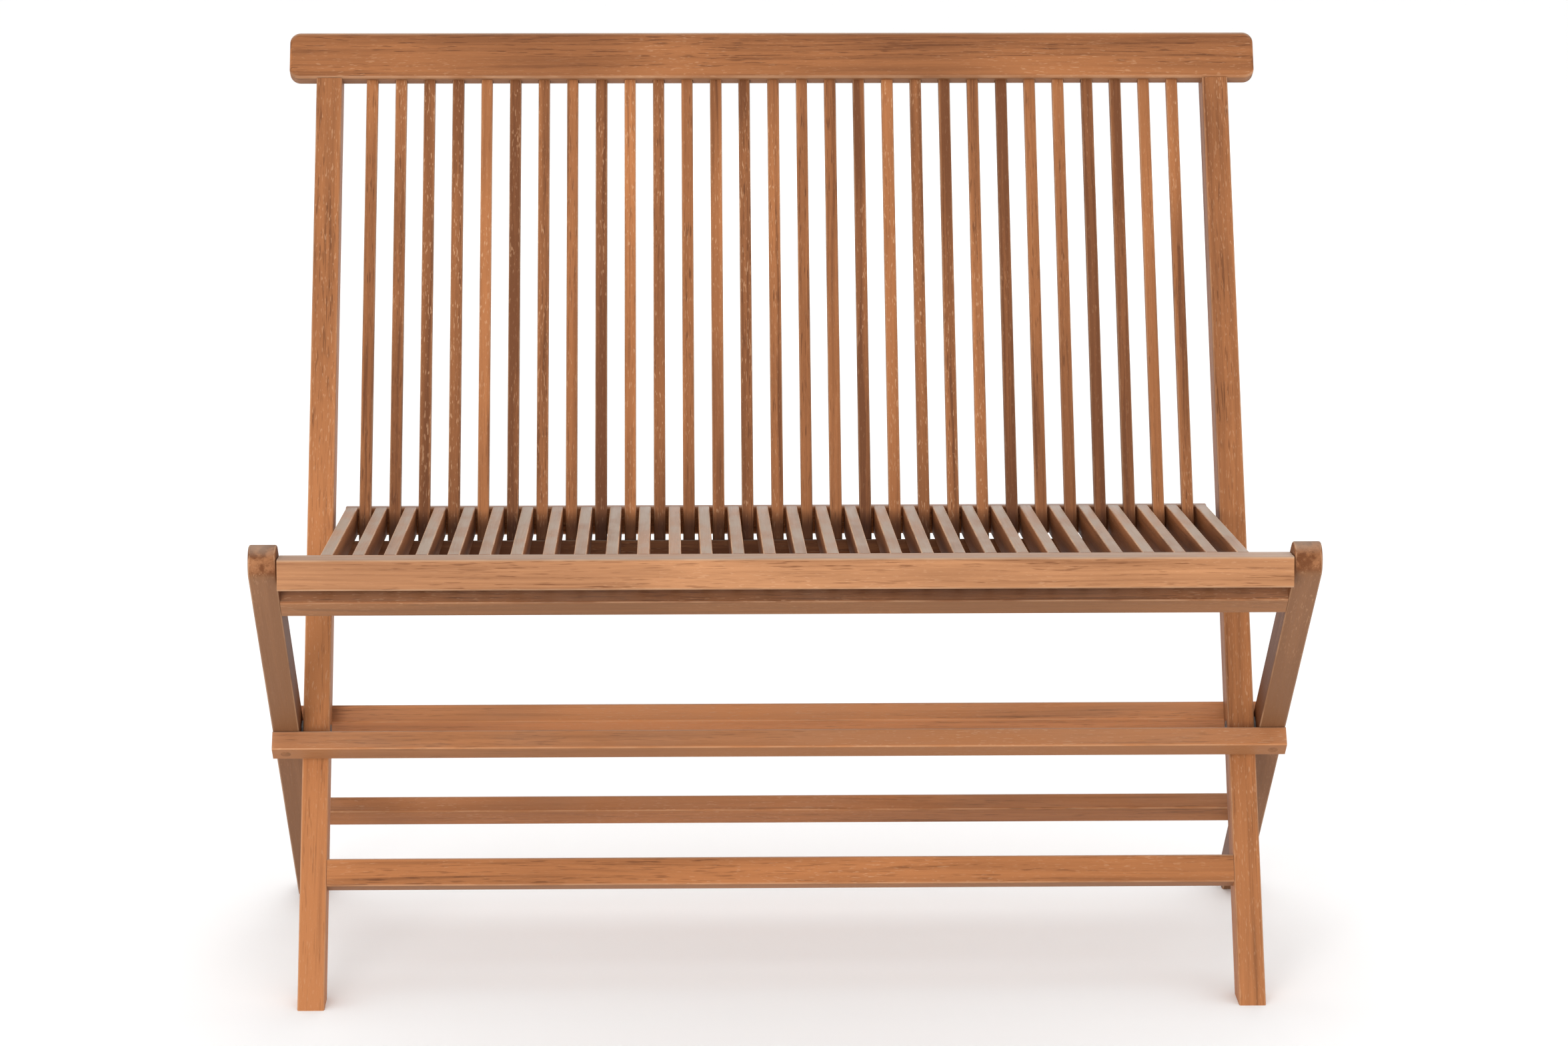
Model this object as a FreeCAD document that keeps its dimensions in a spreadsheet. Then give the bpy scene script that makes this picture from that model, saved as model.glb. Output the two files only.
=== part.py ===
import FreeCAD, Part
import math
import os
import Sketcher

# Folding slatted bench for two people. Two crossing wooden frames turn on a pair of
# pivot bolts. The back frame carries the upright slats, and the leg frame carries the
# seat on two pins at its rounded tops. The seat slats pass between the back slats.
#
# Each frame has an upright, first position: X runs across the bench, Y from the front
# face to the back face of its members, and Z along them. Its placement then leans it.

DRIVING_SIZES = [
    ("overall_width", 990, "outer faces of the two legs"),
    ("leg_width", 26, "leg, across the bench"),
    ("leg_depth", 35, "leg, front face to back face"),
    ("leg_length", 695.4, "leg front face, floor to the top of the round end"),
    ("leg_lean", 48.5, "degrees that the legs lean forward"),
    ("frame_gap", 2, "space for the washer between leg and stile"),
    ("stile_width", 26, "stile, across the bench"),
    ("stile_depth", 35, "stile, front face to back face"),
    ("back_lean", 30, "degrees that the back frame leans back"),
    ("pivot_on_stile", 283, "pivot, along the stile from its front foot edge"),
    ("crest_bottom", 971.5, "underside of the crest rail, along the stile"),
    ("crest_height", 51, "crest rail, along the stile"),
    ("crest_depth", 18, "crest rail, front to back"),
    ("crest_overhang", 28, "crest rail beyond the stile's outer face"),
    ("crest_corner", 11, "round corner of the crest rail's ends"),
    ("crest_ease", 4, "round edge of the crest rail"),
    ("tongue_short", 6, "stile tongue behind the crest rail stops this far below its top"),
    ("lower_rail_top", 475.7, "top of the lower back rail, along the stile"),
    ("lower_rail_height", 30, "lower back rail, along the stile"),
    ("lower_rail_depth", 16, "lower back rail, front to back"),
    ("lower_rail_setback", 3, "lower back rail behind the stile's front face"),
    ("foot_rail_bottom", 123, "front stretcher's underside, along the stile"),
    ("foot_rail_height", 27.5, "front stretcher, along the stile"),
    ("foot_rail_depth", 19, "front stretcher, front to back"),
    ("rail_tenon", 9, "how far a rail's tenon enters a leg or stile"),
    ("slat_edge_gap", 30.8, "stile's inner face to the centre of the first back slat"),
    ("back_slat_count", 29, "upright slats"),
    ("back_slat_width", 12, "back slat, across the bench"),
    ("back_slat_depth", 10, "back slat, front to back"),
    ("back_slat_setback", 6, "back slat behind the stile's front face"),
    ("slat_mortise", 12, "how far a back slat enters each rail"),
    ("seat_slat_groups", 10, "seat slats are kept in groups"),
    ("seat_slats_in_group", 3, "seat slats in one group"),
    ("seat_slat_width", 12, "seat slat, across the bench"),
    ("seat_slat_height", 28, "seat slat, top to underside"),
    ("slat_tenon", 9, "how far a seat slat's tenon enters each rail"),
    ("tenon_shoulder", 4.5, "step from a seat slat's or a rail's faces to its tenon"),
    ("seat_front_depth", 38, "seat's front rail, front to back"),
    ("seat_front_height", 29, "seat's front rail, top to underside"),
    ("seat_side_gap", 1.2, "seat's front rail to each leg"),
    ("seat_rear_depth", 16, "seat's rear rail, front to back"),
    ("seat_rear_height", 28, "seat's rear rail, top to underside"),
    ("rear_rail_gap", 7.5, "back slats to the seat's rear rail"),
    ("seat_rest_gap", 0.4, "seat slats above the lower back rail"),
    ("seat_pin_below_dome", 5, "seat pin below the centre of the leg's round end"),
    ("seat_pin_depth", 13, "seat pin behind the leg's front face"),
    ("seat_pin_setback", 25, "seat pin behind the seat rail's front face"),
    ("seat_pin_below_top", 12.8, "seat pin below the top of the seat"),
    ("seat_pin_radius", 4, "seat pin"),
    ("seat_pin_reach", 32, "how far the seat pin enters the seat's front rail"),
    ("running_fit", 0.05, "radial clearance of a turning hole"),
    ("upper_rail_below_top", 88.1, "upper rail's underside below the leg's top, along the leg"),
    ("upper_rail_height", 25.4, "upper rail, along the leg"),
    ("upper_rail_depth", 20, "upper rail, front to back"),
    ("stop_rail_height", 22, "front and rear stop rails, along the leg"),
    ("stop_rail_depth", 20, "front and rear stop rails, front to back"),
    ("stop_clearance", 0.3, "stop rail to stile when the bench is open"),
    ("rear_rail_bottom", 126.8, "rear stretcher's underside, along the leg"),
    ("rear_rail_height", 30.5, "rear stretcher, along the leg"),
    ("rear_rail_depth", 17.5, "rear stretcher, front to back"),
    ("edge_ease", 2, "round edge of a leg, stile or rail"),
    ("seat_ease", 3, "round edge of the seat's rails"),
    ("slat_ease", 1.5, "round edge of a slat"),
    ("bolt_radius", 4, "pivot bolt"),
    ("bolt_head_radius", 8, "pivot bolt head"),
    ("bolt_head_height", 3.5, "pivot bolt head"),
    ("bolt_sink_depth", 5, "counterbore for the bolt head and for the nut"),
    ("sink_clearance", 1, "counterbore round a head, nut or washer edge"),
    ("nut_radius", 7, "pivot nut"),
    ("nut_height", 5.5, "pivot nut"),
    ("washer_radius", 11, "pivot washer"),
    ("screw_radius", 2.25, "stop rail screw shank"),
    ("screw_head_radius", 4.25, "stop rail screw head"),
    ("screw_head_height", 3, "stop rail screw head"),
    ("screw_length", 38, "stop rail screw, under its head"),
    ("plug_radius", 5, "wooden plug over a screw or seat pin"),
    ("plug_depth", 5, "wooden plug"),
]

doc = FreeCAD.newDocument("folding_bench")
sheet = doc.addObject("Spreadsheet::Sheet", "Sizes")
for row, (name, number, note) in enumerate(DRIVING_SIZES, start=1):
    sheet.set(f"A{row}", name)
    sheet.set(f"B{row}", str(number))
    sheet.set(f"C{row}", note)
    sheet.setAlias(f"B{row}", name)
doc.recompute()


def size(name):
    """One driving dimension, read from the sheet."""
    return float(sheet.get(name))


def turned_point(foot_y, lean, depth, along):
    """Side-view place of a point on a frame that leans back by lean degrees."""
    turn = math.radians(lean)
    y = foot_y + along * math.sin(turn) + depth * math.cos(turn)
    z = along * math.cos(turn) - depth * math.sin(turn)
    return y, z


def work_out_layout():
    """Places that follow from the driving sizes, in the side view of the open bench."""
    back_turn = math.radians(size("back_lean"))
    leg_turn = math.radians(size("leg_lean"))
    half_stile = size("stile_depth") / 2
    half_leg = size("leg_depth") / 2
    place = {}

    place["half_width"] = size("overall_width") / 2
    place["leg_inner"] = place["half_width"] - size("leg_width")
    place["stile_outer"] = place["leg_inner"] - size("frame_gap")
    place["stile_inner"] = place["stile_outer"] - size("stile_width")
    place["slat_pitch"] = (2 * (place["stile_inner"] - size("slat_edge_gap"))
                           / (size("back_slat_count") - 1))

    # The pivot lies on both centre lines, and both frames stand on the floor.
    pivot_y, pivot_z = turned_point(0, size("back_lean"), half_stile, size("pivot_on_stile"))
    place["pivot_y"] = pivot_y
    place["pivot_z"] = pivot_z
    pivot_on_leg = (pivot_z - half_leg * math.sin(leg_turn)) / math.cos(leg_turn)
    place["pivot_on_leg"] = pivot_on_leg
    place["leg_foot_y"] = (pivot_y + pivot_on_leg * math.sin(leg_turn)
                           - half_leg * math.cos(leg_turn))

    # In the open bench the stop rails' edges meet the stiles' front and back faces.
    open_turn = back_turn + leg_turn
    stop_reach = (half_stile + size("stop_clearance")
                  - half_leg * math.cos(open_turn)) / math.sin(open_turn)
    place["front_stop_bottom"] = pivot_on_leg + stop_reach
    place["rear_stop_bottom"] = pivot_on_leg - stop_reach - size("stop_rail_height")

    # The seat turns on its pins until its slats rest on the lower back rail.
    place["dome_centre"] = size("leg_length") - half_leg
    place["upper_rail_bottom"] = size("leg_length") - size("upper_rail_below_top")
    place["seat_pin_on_leg"] = place["dome_centre"] - size("seat_pin_below_dome")
    pin_y, pin_z = turned_point(place["leg_foot_y"], -size("leg_lean"),
                                size("seat_pin_depth"), place["seat_pin_on_leg"])
    rest_y, rest_z = turned_point(0, size("back_lean"), size("lower_rail_setback"),
                                  size("lower_rail_top"))
    place["seat_pin_y"] = pin_y
    place["seat_pin_z"] = pin_z
    below_pin = (size("seat_slat_height") - size("seat_pin_below_top")
                 + size("seat_rest_gap"))
    fall = math.atan2(pin_z - rest_z, rest_y - pin_y)
    reach = math.hypot(rest_y - pin_y, pin_z - rest_z)
    seat_turn = fall - math.asin(below_pin / reach)
    place["seat_slope"] = math.degrees(seat_turn)
    place["seat_y"] = (pin_y - size("seat_pin_setback") * math.cos(seat_turn)
                       + size("seat_pin_below_top") * math.sin(seat_turn))
    place["seat_z"] = (pin_z + size("seat_pin_setback") * math.sin(seat_turn)
                       + size("seat_pin_below_top") * math.cos(seat_turn))

    # The seat's rear rail hangs just behind the back slats.
    rail_face = (size("back_slat_setback") + size("back_slat_depth")
                 + size("rear_rail_gap"))
    seat_front_face = (place["seat_y"] * math.cos(back_turn)
                       - place["seat_z"] * math.sin(back_turn))
    place["seat_rear_start"] = (rail_face - seat_front_face) / math.cos(back_turn - seat_turn)
    place["seat_slat_length"] = place["seat_rear_start"] - size("seat_front_depth")
    place["seat_half_width"] = (place["slat_pitch"] * (size("back_slat_count") / 2)
                                + size("seat_slat_width") / 2)
    return place


layout = work_out_layout()
layout_sheet = doc.addObject("Spreadsheet::Sheet", "Layout")
for row, (name, number) in enumerate(layout.items(), start=1):
    layout_sheet.set(f"A{row}", name)
    layout_sheet.set(f"B{row}", str(number))
    layout_sheet.setAlias(f"B{row}", name)
doc.recompute()


def value(formula):
    """A formula's number, from the two sheets."""
    return float(sheet.evalExpression(formula))


def frame_placement(across, y, z, turn):
    """A frame's placement: moved to its foot, and turned about the X axis."""
    turned = FreeCAD.Rotation(FreeCAD.Vector(1, 0, 0), turn)
    return FreeCAD.Placement(FreeCAD.Vector(across, y, z), turned)


def back_frame(across=0):
    return frame_placement(across, 0, 0, -size("back_lean"))


def leg_frame(across=0):
    return frame_placement(across, layout["leg_foot_y"], 0, size("leg_lean"))


def seat_frame(across=0):
    return frame_placement(across, layout["seat_y"], layout["seat_z"], -layout["seat_slope"])


sub_parts = []


def new_body(label, placement):
    body = doc.addObject("PartDesign::Body", label)
    body.Label = label
    body.Placement = placement
    sub_parts.append(body)
    return body


def origin_feature(body, role):
    return [item for item in body.Origin.OriginFeatures if item.Role == role][0]


def new_sketch(body, name, plane="YZ_Plane", offset="0"):
    """A sketch on one of the body's own planes, moved along that plane's normal."""
    sketch = body.newObject("Sketcher::SketchObject", f"{body.Label}_{name}")
    sketch.AttachmentSupport = [(origin_feature(body, plane), "")]
    sketch.MapMode = "FlatFace"
    sketch.setExpression("AttachmentOffset.Base.z", offset)
    return sketch


def pin_vertex(sketch, edge, end, across, up):
    """Hold one vertex of a sketch at two formulas' distances from the sketch's origin."""
    for kind, formula in (("DistanceX", across), ("DistanceY", up)):
        number = sketch.addConstraint(
            Sketcher.Constraint(kind, -1, 1, edge, end, value(formula)))
        sketch.setExpression(f"Constraints[{number}]", formula)


def draw_outline(sketch, corners):
    """A closed outline of straight lines through corners given as formulas."""
    points = [FreeCAD.Vector(value(across), value(up), 0) for across, up in corners]
    count = len(points)
    for index in range(count):
        sketch.addGeometry(Part.LineSegment(points[index], points[(index + 1) % count]), False)
    for index in range(count):
        sketch.addConstraint(
            Sketcher.Constraint("Coincident", index, 2, (index + 1) % count, 1))
        pin_vertex(sketch, index, 1, *corners[index])


def draw_rectangle(sketch, low_across, low_up, high_across, high_up):
    draw_outline(sketch, [(low_across, low_up), (high_across, low_up),
                          (high_across, high_up), (low_across, high_up)])


def draw_circle(sketch, across, up, radius):
    centre = FreeCAD.Vector(value(across), value(up), 0)
    normal = FreeCAD.Vector(0, 0, 1)
    edge = sketch.addGeometry(Part.Circle(centre, normal, value(radius)), False)
    pin_vertex(sketch, edge, 3, across, up)
    number = sketch.addConstraint(Sketcher.Constraint("Radius", edge, value(radius)))
    sketch.setExpression(f"Constraints[{number}]", radius)


def pad(body, sketch, length, side=0):
    """Extrude a sketch: both ways for side 0, or towards +X or -X."""
    feature = body.newObject("PartDesign::Pad", f"{sketch.Name}_pad")
    feature.Profile = sketch
    feature.SideType = "Symmetric" if side == 0 else "One side"
    feature.Reversed = side < 0
    feature.setExpression("Length", length)
    sketch.Visibility = False
    body.Tip = feature
    return feature


def cut(body, sketch, depth):
    """Cut a sketch the given depth to each side of its plane."""
    before = body.Shape.Volume
    feature = body.newObject("PartDesign::Pocket", f"{sketch.Name}_cut")
    feature.Profile = sketch
    feature.SideType = "Symmetric"
    feature.setExpression("Length", f"2 * ({depth})")
    sketch.Visibility = False
    body.Tip = feature
    doc.recompute()
    if not body.Shape.Volume < before:
        raise RuntimeError(f"{feature.Name} cuts nothing")
    return feature


def repeat_across(body, feature, pitch, count):
    """Copies of a feature along X."""
    pattern = body.newObject("PartDesign::LinearPattern", f"{feature.Name}_row")
    pattern.Originals = [feature]
    pattern.Direction = (origin_feature(body, "X_Axis"), [""])
    pattern.setExpression("Length", f"({pitch}) * ({count} - 1)")
    pattern.setExpression("Occurrences", count)
    body.Tip = pattern
    doc.recompute()
    return pattern


def ease(body, direction, radius, wanted=lambda edge: True):
    """Round the straight edges that run along a direction."""
    doc.recompute()
    tip = body.Tip
    names = []
    for number, edge in enumerate(tip.Shape.Edges, start=1):
        if edge.Curve.TypeId != "Part::GeomLine":
            continue
        along = abs(edge.Curve.Direction.dot(FreeCAD.Vector(*direction)))
        if along > 0.999 and wanted(edge):
            names.append(f"Edge{number}")
    feature = body.newObject("PartDesign::Fillet", f"{body.Label}_ease")
    feature.Base = (tip, names)
    feature.setExpression("Radius", radius)
    body.Tip = feature
    doc.recompute()
    return feature


ACROSS = (1, 0, 0)
ALONG = (0, 0, 1)
DEPTH = (0, 1, 0)
FLAT = 0.001


def rail(label, placement, half_length, depth_from, depth_to, low, high, radius="Sizes.edge_ease"):
    """A rail across the bench with round long edges."""
    body = new_body(label, placement)
    section = new_sketch(body, "section")
    draw_rectangle(section, depth_from, low, depth_to, high)
    pad(body, section, f"2 * ({half_length})")
    ease(body, ACROSS, radius)
    return body


def draw_tenon(sketch, depth_from, depth_to, low, high):
    """The section of a rail's tenon, a shoulder smaller than the rail all round."""
    draw_rectangle(sketch, f"{depth_from} + Sizes.tenon_shoulder", f"{low} + Sizes.tenon_shoulder",
                   f"{depth_to} - Sizes.tenon_shoulder", f"{high} - Sizes.tenon_shoulder")


def tenoned_rail(label, placement, half_length, *section):
    """A rail that butts against the inner faces of two members, with a tenon into each."""
    body = rail(label, placement, half_length, *section)
    tenon = new_sketch(body, "tenon")
    draw_tenon(tenon, *section)
    pad(body, tenon, f"2 * ({half_length} + Sizes.rail_tenon)")
    doc.recompute()
    return body


def mortise_for_rail(body, name, *section):
    """A blind mortise for a rail's tenon in a leg's or stile's inner face."""
    sketch = new_sketch(body, name)
    draw_tenon(sketch, *section)
    cut(body, sketch, "Sizes.rail_tenon")


# Sections of the rails, as from, to, low and high formulas.
LOWER_RAIL = ("Sizes.lower_rail_setback", "Sizes.lower_rail_setback + Sizes.lower_rail_depth",
              "Sizes.lower_rail_top - Sizes.lower_rail_height", "Sizes.lower_rail_top")
FOOT_RAIL = ("0", "Sizes.foot_rail_depth",
             "Sizes.foot_rail_bottom", "Sizes.foot_rail_bottom + Sizes.foot_rail_height")
UPPER_RAIL = ("0", "Sizes.upper_rail_depth",
              "Layout.upper_rail_bottom", "Layout.upper_rail_bottom + Sizes.upper_rail_height")
REAR_RAIL = ("Sizes.leg_depth - Sizes.rear_rail_depth", "Sizes.leg_depth",
             "Sizes.rear_rail_bottom", "Sizes.rear_rail_bottom + Sizes.rear_rail_height")


def make_stile(label, side):
    """A stile: foot cut level with the floor, and a tongue behind the crest rail."""
    body = new_body(label, back_frame(side * layout["stile_inner"]))
    outline = new_sketch(body, "outline")
    tongue_top = "Sizes.crest_bottom + Sizes.crest_height - Sizes.tongue_short"
    draw_outline(outline, [
        ("0", "0"),
        ("Sizes.stile_depth", "Sizes.stile_depth * tan(Sizes.back_lean)"),
        ("Sizes.stile_depth", tongue_top),
        ("Sizes.crest_depth", tongue_top),
        ("Sizes.crest_depth", "Sizes.crest_bottom"),
        ("0", "Sizes.crest_bottom"),
    ])
    pad(body, outline, "Sizes.stile_width", side)
    ease(body, ALONG, "Sizes.edge_ease", lambda edge: edge.Length > size("crest_bottom") / 2)
    mortise_for_rail(body, "lower_mortise", *LOWER_RAIL)
    mortise_for_rail(body, "foot_mortise", *FOOT_RAIL)
    hole = new_sketch(body, "pivot_hole")
    draw_circle(hole, "Sizes.stile_depth / 2", "Sizes.pivot_on_stile", "Sizes.bolt_radius")
    cut(body, hole, "Sizes.stile_width")
    sink = new_sketch(body, "nut_sink")
    draw_circle(sink, "Sizes.stile_depth / 2", "Sizes.pivot_on_stile",
                "Sizes.nut_radius + Sizes.sink_clearance")
    cut(body, sink, "Sizes.bolt_sink_depth")
    return body


def make_leg(label, side):
    """A leg: foot cut level with the floor, top end rounded to a half circle."""
    body = new_body(label, leg_frame(side * layout["leg_inner"]))
    outline = new_sketch(body, "outline")
    half = size("leg_depth") / 2
    rear_foot = -size("leg_depth") * math.tan(math.radians(size("leg_lean")))
    dome = layout["dome_centre"]
    front_low = FreeCAD.Vector(0, 0, 0)
    rear_low = FreeCAD.Vector(2 * half, rear_foot, 0)
    rear_high = FreeCAD.Vector(2 * half, dome, 0)
    front_high = FreeCAD.Vector(0, dome, 0)
    top = FreeCAD.Vector(half, dome + half, 0)
    outline.addGeometry(Part.LineSegment(front_low, rear_low), False)
    outline.addGeometry(Part.LineSegment(rear_low, rear_high), False)
    outline.addGeometry(Part.Arc(rear_high, top, front_high), False)
    outline.addGeometry(Part.LineSegment(front_high, front_low), False)
    outline.addConstraint(Sketcher.Constraint("Coincident", 0, 2, 1, 1))
    outline.addConstraint(Sketcher.Constraint("Coincident", 1, 2, 2, 1))
    outline.addConstraint(Sketcher.Constraint("Coincident", 2, 2, 3, 1))
    outline.addConstraint(Sketcher.Constraint("Coincident", 3, 2, 0, 1))
    pin_vertex(outline, 0, 1, "0", "0")
    pin_vertex(outline, 1, 1, "Sizes.leg_depth", "-Sizes.leg_depth * tan(Sizes.leg_lean)")
    pin_vertex(outline, 1, 2, "Sizes.leg_depth", "Layout.dome_centre")
    pin_vertex(outline, 3, 1, "0", "Layout.dome_centre")
    centre_height = outline.addConstraint(
        Sketcher.Constraint("DistanceY", -1, 1, 2, 3, dome))
    outline.setExpression(f"Constraints[{centre_height}]", "Layout.dome_centre")
    pad(body, outline, "Sizes.leg_width", side)
    doc.recompute()
    ease_leg(body)
    mortise_for_rail(body, "upper_mortise", *UPPER_RAIL)
    mortise_for_rail(body, "rear_mortise", *REAR_RAIL)
    turning_radius = "Sizes.bolt_radius + Sizes.running_fit"
    hole = new_sketch(body, "pivot_hole")
    draw_circle(hole, "Sizes.leg_depth / 2", "Layout.pivot_on_leg", turning_radius)
    cut(body, hole, "Sizes.leg_width")
    outer_face = f"{side} * Sizes.leg_width"
    sink = new_sketch(body, "head_sink", offset=outer_face)
    draw_circle(sink, "Sizes.leg_depth / 2", "Layout.pivot_on_leg",
                "Sizes.bolt_head_radius + Sizes.sink_clearance")
    cut(body, sink, "Sizes.bolt_sink_depth")
    hole = new_sketch(body, "seat_pin_hole")
    draw_circle(hole, "Sizes.seat_pin_depth", "Layout.seat_pin_on_leg", "Sizes.seat_pin_radius")
    cut(body, hole, "Sizes.leg_width")
    sink = new_sketch(body, "seat_plug_hole", offset=outer_face)
    draw_circle(sink, "Sizes.seat_pin_depth", "Layout.seat_pin_on_leg", "Sizes.plug_radius")
    cut(body, sink, "Sizes.plug_depth")
    drill_for_screw(body, f"{side} * Sizes.leg_width / 2", "front")
    drill_for_screw(body, f"{side} * Sizes.leg_width / 2", "rear")
    return body


def ease_leg(body):
    """Round the two long edges of each side face, and the half circles that join them."""
    tip = body.Tip
    names = []
    for number, edge in enumerate(tip.Shape.Edges, start=1):
        straight = edge.Curve.TypeId == "Part::GeomLine"
        if straight and abs(edge.Curve.Direction.z) < 0.999:
            continue
        names.append(f"Edge{number}")
    feature = body.newObject("PartDesign::Fillet", f"{body.Label}_ease")
    feature.Base = (tip, names)
    feature.setExpression("Radius", "Sizes.edge_ease")
    body.Tip = feature
    doc.recompute()


SCREW_HEIGHT = {
    "front": "Layout.front_stop_bottom + Sizes.stop_rail_height / 2",
    "rear": "Layout.rear_stop_bottom + Sizes.stop_rail_height / 2",
}


def drill_for_screw(body, across, face):
    """A blind screw hole, from the leg's front or rear face."""
    hole = new_sketch(body, f"{face}_screw_hole", plane="XZ_Plane",
                      offset="0" if face == "front" else "-Sizes.leg_depth")
    draw_circle(hole, across, SCREW_HEIGHT[face], "Sizes.screw_radius")
    cut(body, hole, "Sizes.screw_length + Sizes.plug_depth + Sizes.screw_head_height"
                    " - Sizes.stop_rail_depth")


def make_stop_rail(label, face):
    """A full-width rail on the legs' front or rear faces, drilled for its screws."""
    if face == "front":
        low, depth_from, depth_to = "Layout.front_stop_bottom", "-Sizes.stop_rail_depth", "0"
        outside = "Sizes.stop_rail_depth"
    else:
        low, depth_from = "Layout.rear_stop_bottom", "Sizes.leg_depth"
        depth_to = "Sizes.leg_depth + Sizes.stop_rail_depth"
        outside = f"-({depth_to})"
    body = rail(label, leg_frame(), "Layout.half_width", depth_from, depth_to,
                low, f"{low} + Sizes.stop_rail_height")
    screw_across = "Layout.half_width - Sizes.leg_width / 2"
    steps = (("shank", "Sizes.screw_radius", "Sizes.stop_rail_depth"),
             ("head", "Sizes.screw_head_radius", "Sizes.plug_depth + Sizes.screw_head_height"),
             ("plug", "Sizes.plug_radius", "Sizes.plug_depth"))
    for step, radius, depth in steps:
        for sign in (-1, 1):
            side = "left" if sign < 0 else "right"
            hole = new_sketch(body, f"{side}_{step}_hole", plane="XZ_Plane", offset=outside)
            draw_circle(hole, f"{sign} * ({screw_across})", SCREW_HEIGHT[face], radius)
            cut(body, hole, depth)
    return body


def make_crest_rail():
    """The crest rail: round-cornered board with a mortise for each back slat."""
    body = new_body("crest_rail", back_frame())
    face = new_sketch(body, "section")
    draw_rectangle(face, "0", "Sizes.crest_bottom", "Sizes.crest_depth",
                   "Sizes.crest_bottom + Sizes.crest_height")
    pad(body, face, "2 * (Layout.stile_outer + Sizes.crest_overhang)")
    ease(body, DEPTH, "Sizes.crest_corner")
    round_face_edges(body, "Sizes.crest_ease")
    cut_slat_mortises(body, "Sizes.crest_bottom")
    return body


def round_face_edges(body, radius):
    """Round every edge of the board's front and back faces."""
    tip = body.Tip
    names = []
    for number, edge in enumerate(tip.Shape.Edges, start=1):
        box = edge.BoundBox
        if box.YLength < FLAT:
            names.append(f"Edge{number}")
    feature = body.newObject("PartDesign::Fillet", f"{body.Label}_face_ease")
    feature.Base = (tip, names)
    feature.setExpression("Radius", radius)
    body.Tip = feature
    doc.recompute()


def cut_slat_mortises(body, face):
    """A row of mortises for the back slats, above and below the given face."""
    first = "-Layout.slat_pitch * (Sizes.back_slat_count - 1) / 2"
    sketch = new_sketch(body, "slat_mortise", offset=first)
    draw_rectangle(sketch, "Sizes.back_slat_setback", f"{face} - Sizes.slat_mortise",
                   "Sizes.back_slat_setback + Sizes.back_slat_depth",
                   f"{face} + Sizes.slat_mortise")
    mortise = cut(body, sketch, "Sizes.back_slat_width / 2")
    repeat_across(body, mortise, "Layout.slat_pitch", "Sizes.back_slat_count")


def make_back_slat(label, across):
    """One upright slat, square at its ends and round along its edges between them."""
    body = new_body(label, back_frame(across))
    section = new_sketch(body, "section")
    draw_rectangle(section, "Sizes.back_slat_setback",
                   "Sizes.lower_rail_top - Sizes.slat_mortise",
                   "Sizes.back_slat_setback + Sizes.back_slat_depth",
                   "Sizes.crest_bottom + Sizes.slat_mortise")
    pad(body, section, "Sizes.back_slat_width")
    ease(body, ALONG, "Sizes.slat_ease")
    return body


SEAT_SLAT_END = "Layout.seat_rear_start"


def seat_slat_outline(sketch):
    """Side view of a seat slat with a stub tenon at each end."""
    start = "Sizes.seat_front_depth"
    low = "-Sizes.seat_slat_height"
    tenon_low = f"{low} + Sizes.tenon_shoulder"
    tenon_high = "-Sizes.tenon_shoulder"
    draw_outline(sketch, [
        (start, low),
        (SEAT_SLAT_END, low),
        (SEAT_SLAT_END, tenon_low),
        (f"{SEAT_SLAT_END} + Sizes.slat_tenon", tenon_low),
        (f"{SEAT_SLAT_END} + Sizes.slat_tenon", tenon_high),
        (SEAT_SLAT_END, tenon_high),
        (SEAT_SLAT_END, "0"),
        (start, "0"),
        (start, tenon_high),
        (f"{start} - Sizes.slat_tenon", tenon_high),
        (f"{start} - Sizes.slat_tenon", tenon_low),
        (start, tenon_low),
    ])


def make_seat_slats(label, group):
    """A group of neighbouring seat slats, made as one slat and its copies."""
    count = int(size("seat_slats_in_group"))
    all_slats = int(size("seat_slat_groups")) * count
    first = (group * count - (all_slats - 1) / 2) * layout["slat_pitch"]
    body = new_body(label, seat_frame(first))
    outline = new_sketch(body, "outline")
    seat_slat_outline(outline)
    slat = pad(body, outline, "Sizes.seat_slat_width")
    doc.recompute()
    eased = ease(body, DEPTH, "Sizes.slat_ease",
                 lambda edge: edge.Length > layout["seat_slat_length"] / 2)
    pattern = body.newObject("PartDesign::LinearPattern", f"{label}_row")
    pattern.Originals = [slat, eased]
    pattern.Direction = (origin_feature(body, "X_Axis"), [""])
    pattern.setExpression("Length", "Layout.slat_pitch * (Sizes.seat_slats_in_group - 1)")
    pattern.setExpression("Occurrences", "Sizes.seat_slats_in_group")
    body.Tip = pattern
    doc.recompute()
    return body


def cut_seat_mortises(body, face):
    """A row of mortises for the seat slats' tenons, each side of the given face."""
    all_slats = "Sizes.seat_slat_groups * Sizes.seat_slats_in_group"
    sketch = new_sketch(body, "tenon_mortise", offset=f"-Layout.slat_pitch * ({all_slats} - 1) / 2")
    draw_rectangle(sketch, f"{face} - Sizes.slat_tenon",
                   "-Sizes.seat_slat_height + Sizes.tenon_shoulder",
                   f"{face} + Sizes.slat_tenon", "-Sizes.tenon_shoulder")
    mortise = cut(body, sketch, "Sizes.seat_slat_width / 2")
    repeat_across(body, mortise, "Layout.slat_pitch", all_slats)


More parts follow.
